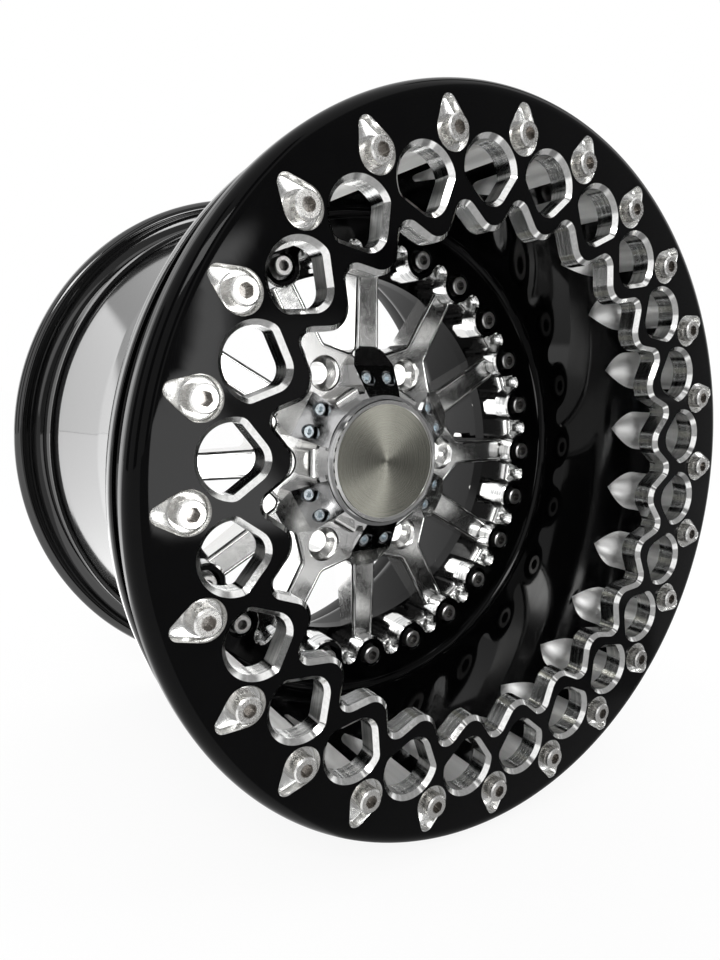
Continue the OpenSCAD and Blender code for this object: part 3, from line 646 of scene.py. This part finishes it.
def screw_metal(name, circle_r, low, high, hole, rough):
    """A socket screw: painted shade in the key hole, ground face with a painted highlight on its edge, and
    grooves on the head's side.
    """
    g = start_material(name, low, 1.0)
    distance = screw_distance(g, circle_r)
    facing = g.math("ABSOLUTE", g.split(g.node("ShaderNodeNewGeometry").outputs["True Normal"])[1])
    noise = g.grain((900, 300, 900), 2.0, 0.5)
    ring = g.rings(distance, 3000.0, 2.0, 0.6)
    color = g.blend(g.step(g.plus(g.times(noise, 0.5), g.times(ring, 0.5)), 0.35, 0.65), low, high)
    # Painted shade: inside the key hole the colour turns to hole, a dark colour that stands for the shade in
    # the recess
    color = g.blend(g.step(distance, KEY_R + 0.0001, KEY_R - 0.0003), color, hole)
    # Painted highlight: the edge of the head's front face is lightened towards near white
    painted_rim_highlight = g.times(g.step(distance, HEAD_R - 0.0011, HEAD_R - 0.0007), g.step(facing, 0.3, 0.6))
    color = g.blend(g.times(painted_rim_highlight, 0.6), color, (0.95, 0.95, 0.94))
    g.finish(color, g.between(noise, *rough))
    slant = g.plus(g.x, g.times(g.z, 1.3))
    grooves = g.times(g.math("SINE", g.times(slant, 9000.0)), g.step(facing, 0.5, 0.3))
    g.bump(g.plus(g.times(grooves, 0.5), g.times(ring, 0.05)), 0.2, 0.00006)
    return g.material


def steel(name, low, high, rough):
    g = start_material(name, low, 1.0)
    noise = g.grain((700, 140, 700), 3.0, 0.6)
    g.finish(g.mottled(noise, low, high), g.between(noise, *rough))
    g.bump(noise, 0.12, 0.00003)
    return g.material


def cut_metal(name, low, high, rough, wide=30, deep=620, strength=0.08):
    """Machined metal with fine tool lines: their waves per metre across the wheel and in depth."""
    g = start_material(name, high, 1.0)
    streak = g.grain((wide, deep, wide), 3.0, 0.65)
    cloud = g.grain((60, 60, 60), 2.0, 0.5)
    streak_share = 0.92
    tone = g.plus(g.times(streak, streak_share), g.times(cloud, 1.0 - streak_share))
    g.finish(g.blend(g.step(tone, 0.32, 0.68), low, high), g.between(streak, *rough))
    g.bump(streak, strength, 0.00004)
    return g.material


def pocket_metal(name):
    """A milled pocket: a floor with faint arcs of the cutter round each screw."""
    g = start_material(name, (0.9, 0.9, 0.89), 1.0)
    arcs = g.rings(screw_distance(g, BOLT_R / 1000), 1500.0, 2.0, 0.6)
    g.finish(g.mottled(arcs, (0.86, 0.86, 0.85), (0.95, 0.95, 0.94)), g.between(arcs, 0.20, 0.27))
    g.bump(arcs, 0.05, 0.00004)
    return g.material


def rubber(name):
    g = start_material(name, (0.02, 0.02, 0.02), 0.0)
    noise = g.grain((500, 500, 500), 3.0, 0.6)
    g.finish(g.blend(noise, (0.014, 0.014, 0.014), (0.03, 0.03, 0.03)), g.between(noise, 0.5, 0.7))
    g.bump(noise, 0.2, 0.0001)
    return g.material


def turned(name):
    """Turned face of the cap: fine circular grooves, bright outer rim."""
    g = start_material(name, (0.8, 0.8, 0.79), 1.0, Anisotropic=0.85)
    ring = g.rings(g.radius, 5200.0, 3.0, 0.7)
    rim = g.step(g.radius, 0.0398, 0.0402)
    face = g.mottled(ring, (0.25, 0.247, 0.212), (0.36, 0.355, 0.31))
    g.finish(g.blend(rim, face, (0.93, 0.93, 0.92)), g.mix(rim, g.between(ring, 0.24, 0.30), 0.09))
    tangent = g.node("ShaderNodeTangent", direction_type="RADIAL", axis="Y")
    g.put(g.surface.inputs["Tangent"], tangent.outputs[0])
    g.bump(ring, 0.02, 0.00002)
    return g.material


centre_polish = polished("centre_polish", (0.88, 0.875, 0.86), (0.96, 0.96, 0.95), (0.13, 0.20), 0.03)
edge_polish = polished("spoke_edge_polish", (0.82, 0.82, 0.81), (0.92, 0.92, 0.91), (0.03, 0.07), 0.03)
cover_smoke = polished("cover_smoke", (0.50, 0.50, 0.505), (0.66, 0.66, 0.665), (0.05, 0.12), 0.05)
# The colour given for hole, (0.40, 0.38, 0.36), is painted shade in the key hole
screw_steel = screw_metal("screw_steel", BOLT_R / 1000, (0.76, 0.745, 0.72), (0.88, 0.87, 0.85),
                          (0.40, 0.38, 0.36), (0.22, 0.32))
washer_steel = steel("washer_steel", (0.72, 0.71, 0.69), (0.86, 0.86, 0.85), (0.12, 0.22))
# The colour given for hole, (0.20, 0.195, 0.19), is painted shade in the key hole
flange_screw_steel = screw_metal("flange_screw_steel", FLANGE_BOLT_R / 1000, (0.62, 0.605, 0.59),
                                 (0.80, 0.79, 0.77), (0.20, 0.195, 0.19), (0.28, 0.40))
flange_washer_steel = steel("flange_washer_steel", (0.07, 0.07, 0.07), (0.16, 0.16, 0.16), (0.2, 0.35))
cap_screw_zinc = steel("cap_screw_zinc", (0.60, 0.67, 0.71), (0.78, 0.85, 0.89), (0.12, 0.24))
insert_metal = steel("insert_metal", (0.6, 0.52, 0.32), (0.72, 0.64, 0.42), (0.25, 0.4))
core_brass = steel("core_brass", (0.7, 0.55, 0.25), (0.82, 0.68, 0.35), (0.2, 0.35))
rear_black = gloss_black("rear_shell_black", 1.0)
rear_inside_black = gloss_black("rear_shell_inside", 0.1)
seal_rubber = rubber("seal_rubber")
cap_turned = turned("cap_turned")
clamp_paint = gloss_black("clamp_paint", 0.1)
bevel_cut = cut_metal("bevel_cut", (0.84, 0.84, 0.83), (0.95, 0.95, 0.94), (0.08, 0.16), 500, 500, 0.05)
wall_cut = cut_metal("wall_cut", (0.50, 0.51, 0.51), (0.90, 0.90, 0.895), (0.12, 0.24))
pocket_cut = pocket_metal("pocket_cut")
scallop_cut = cut_metal("scallop_cut", (0.90, 0.90, 0.89), (0.97, 0.97, 0.96), (0.32, 0.42), 400, 20, 0.06)
shell_paint = gloss_black("front_shell_paint", 0.15)

# Finer forms that stand in for CAD pieces, and one that lies on the centre
ring = build_ring([clamp_paint, bevel_cut, wall_cut, pocket_cut])
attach(ring, "root")
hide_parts("beadlock_ring")
shell = build_front_shell([shell_paint, scallop_cut, wall_cut, bevel_cut, rear_black])
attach(shell, "root")
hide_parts("outer_shell")
rear = build_rear_shell([rear_black, rear_inside_black])
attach(rear, "root")
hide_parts("inner_shell")
edges = build_spoke_edges([edge_polish])
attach(edges, "root")

# Materials of the CAD pieces that stay
FINISHES = {
    "wheel_center": centre_polish,
    "cap_spider": cover_smoke,
    "cap_disc": cap_turned,
    "beadlock_bolts": screw_steel,
    "beadlock_washers": washer_steel,
    "thread_inserts": insert_metal,
    "assembly_bolts": flange_screw_steel,
    "assembly_washers": flange_washer_steel,
    "nut_washers": flange_washer_steel,
    "assembly_nuts": flange_screw_steel,
    "cap_screws": cap_screw_zinc,
    "shell_seal": seal_rubber,
    "cap_seal": seal_rubber,
    "valve_seal": seal_rubber,
    "valve_stem": washer_steel,
    "valve_nut": washer_steel,
    "valve_core": core_brass,
    "valve_cap": rear_black,
}
for node_name, finish in FINISHES.items():
    mesh = nodes[node_name].data
    mesh.materials.clear()
    mesh.materials.append(finish)

# Camera, from the photograph's perspective
cam_data = bpy.data.cameras.new("camera")
cam = bpy.data.objects.new("camera", cam_data)
scene.collection.objects.link(cam)
cam.matrix_world = Matrix((
    (0.838473, 0.064828, -0.541074, -0.277778),
    (-0.544744, 0.126607, -0.828990, -0.449751),
    (0.014762, 0.989832, 0.141471, 0.055311),
    (0.0, 0.0, 0.0, 1.0)))
cam_data.lens = 25.93
cam_data.sensor_width = 36
cam_data.clip_start = 0.01
cam_data.clip_end = 50
scene.camera = cam

# Brightness that the floor shows to reflections: azimuths in degrees, distances in metres, level
FLOOR_HALF = 14.0
FLOOR_PATCHES = (
    (100, 212, 0.12, FLOOR_HALF, 0.30),
    (130, 152, 0.33, FLOOR_HALF, 0.07),
    (131, 140, 0.62, FLOOR_HALF, 0.45),
    (151, 160, 1.2, FLOOR_HALF, 1.0),
    (156, 172, 0.33, 0.47, 1.0),
    (161, 178, 1.05, FLOOR_HALF, 8.0),
    (315, 345, 0.2, FLOOR_HALF, 2.6))
CAMERA_WHITE = 1.03


def flat_white(name, shadow):
    """A floor that is white to the camera, patchy to reflections, and keeps a soft shadow."""
    made = bpy.data.materials.new(name)
    made.use_nodes = True
    made.node_tree.nodes.clear()
    g = Graph(made.node_tree)
    out = g.node("ShaderNodeOutputMaterial")
    diffuse = g.node("ShaderNodeBsdfDiffuse")
    diffuse.inputs["Color"].default_value = (0.9, 0.9, 0.9, 1)
    glow = g.node("ShaderNodeEmission")
    glow.inputs["Color"].default_value = (1, 1, 1, 1)
    ray = g.node("ShaderNodeLightPath").outputs
    seen = g.math("MAXIMUM", ray["Is Glossy Ray"], ray["Is Transmission Ray"])
    seen = g.math("MAXIMUM", ray["Is Camera Ray"], seen)
    x, y, _ = g.split(g.node("ShaderNodeTexCoord").outputs["Object"])
    azimuth = g.math("FLOORED_MODULO", g.math("ARCTAN2", x, y), 2 * math.pi)
    away = g.length(x, y)
    level = 1.0
    for from_az, to_az, near, far, value in FLOOR_PATCHES:
        across = g.band(azimuth, math.radians(from_az), math.radians(to_az), 0.03)
        along = g.times(g.step(away, near * 0.93, near * 1.07), g.step(away, far * 1.07, far * 0.93))
        level = g.mix(g.times(across, along), level, value)
    g.put(glow.inputs["Strength"], g.mix(ray["Is Camera Ray"], level, CAMERA_WHITE))
    mixed = g.node("ShaderNodeMixShader")
    g.put(mixed.inputs[0], g.times(seen, 1.0 - shadow))
    g.put(mixed.inputs[1], diffuse.outputs[0])
    g.put(mixed.inputs[2], glow.outputs[0])
    g.put(out.inputs["Surface"], mixed.outputs[0])
    return made


# Floor
floor_mesh = bpy.data.meshes.new("floor")
floor_corners = [(-FLOOR_HALF, -FLOOR_HALF, cad_lo.z), (FLOOR_HALF, -FLOOR_HALF, cad_lo.z),
                 (FLOOR_HALF, FLOOR_HALF, cad_lo.z), (-FLOOR_HALF, FLOOR_HALF, cad_lo.z)]
floor_mesh.from_pydata(floor_corners, [], [(0, 1, 2, 3)])
floor_mesh.materials.append(flat_white("floor_white", 0.13))
floor = bpy.data.objects.new("floor", floor_mesh)
scene.collection.objects.link(floor)

# World: bright all round, dim where the flat faces look. Azimuth 0 is +Y and grows towards +X, in degrees:
# a window is from azimuth, to azimuth, from elevation, to elevation.
WORLD_LEVEL = 0.95
DIM_WINDOWS = (((100, 186, -5, 55), 0.07, 0.30), ((131, 146.5, -5, 11), 0.02, 0.04))
LIGHT_WINDOWS = (
    ((147.5, 156, -5, 5.5), 1.0),
    ((108, 111, 4, 40), 0.6),
    ((157.5, 162.8, -5, 13), 8.0),
    ((-42, -13, -12, 50), 2.2))
DARK_WINDOWS = (
    ((-172, -160, -8, 70), 0.85),
    ((-128, -112, -60, 60), 0.85),
    ((-84, -66, -60, 35), 0.8),
    ((62, 78, -10, 70), 0.8))


def build_world():
    world = bpy.data.worlds.new("studio")
    scene.world = world
    world.use_nodes = True
    world.node_tree.nodes.clear()
    g = Graph(world.node_tree)
    dx, dy, dz = g.split(g.node("ShaderNodeTexCoord").outputs["Generated"])

    def window(degrees, soft=0.03):
        from_az, to_az, from_el, to_el = (math.radians(angle) for angle in degrees)
        across = g.band(g.math("ARCTAN2", dx, dy), from_az, to_az, soft)
        return g.times(across, g.band(g.math("ARCSINE", dz), from_el, to_el, soft))

    level = WORLD_LEVEL
    for box, soft, value in DIM_WINDOWS:
        level = g.mix(window(box, soft), level, value)
    for box, power in LIGHT_WINDOWS:
        level = g.math("MAXIMUM", level, g.times(window(box), power))
    for box, cut in DARK_WINDOWS:
        level = g.times(level, g.math("SUBTRACT", 1.0, g.times(window(box), cut)))
    surroundings = g.node("ShaderNodeBackground")
    g.put(surroundings.inputs["Strength"], level)
    backdrop = g.node("ShaderNodeBackground")
    backdrop.inputs["Strength"].default_value = 1.0
    for background in (surroundings, backdrop):
        background.inputs["Color"].default_value = (1, 1, 1, 1)
    mixed = g.node("ShaderNodeMixShader")
    g.put(mixed.inputs[0], g.node("ShaderNodeLightPath").outputs["Is Camera Ray"])
    g.put(mixed.inputs[1], surroundings.outputs[0])
    g.put(mixed.inputs[2], backdrop.outputs[0])
    g.put(g.node("ShaderNodeOutputWorld").inputs["Surface"], mixed.outputs[0])


build_world()


# Lamps
def area(name, place, target, size, power):
    data = bpy.data.lights.new(name, "AREA")
    data.shape = "RECTANGLE"
    data.size, data.size_y = size
    data.energy = power
    lamp = bpy.data.objects.new(name, data)
    scene.collection.objects.link(lamp)
    lamp.location = place
    lamp.rotation_mode = "QUATERNION"
    lamp.rotation_quaternion = (Vector(target) - Vector(place)).to_track_quat("-Z", "Y")
    return lamp


area("key", (-1.1, -1.6, 1.5), (0, -0.1, 0), (0.9, 0.5), 14)
fill = area("fill", (1.4, -1.2, 0.5), (0, -0.1, 0), (0.25, 1.1), 6)
fill.visible_glossy = False

# Finish
scene.view_settings.view_transform = "Standard"
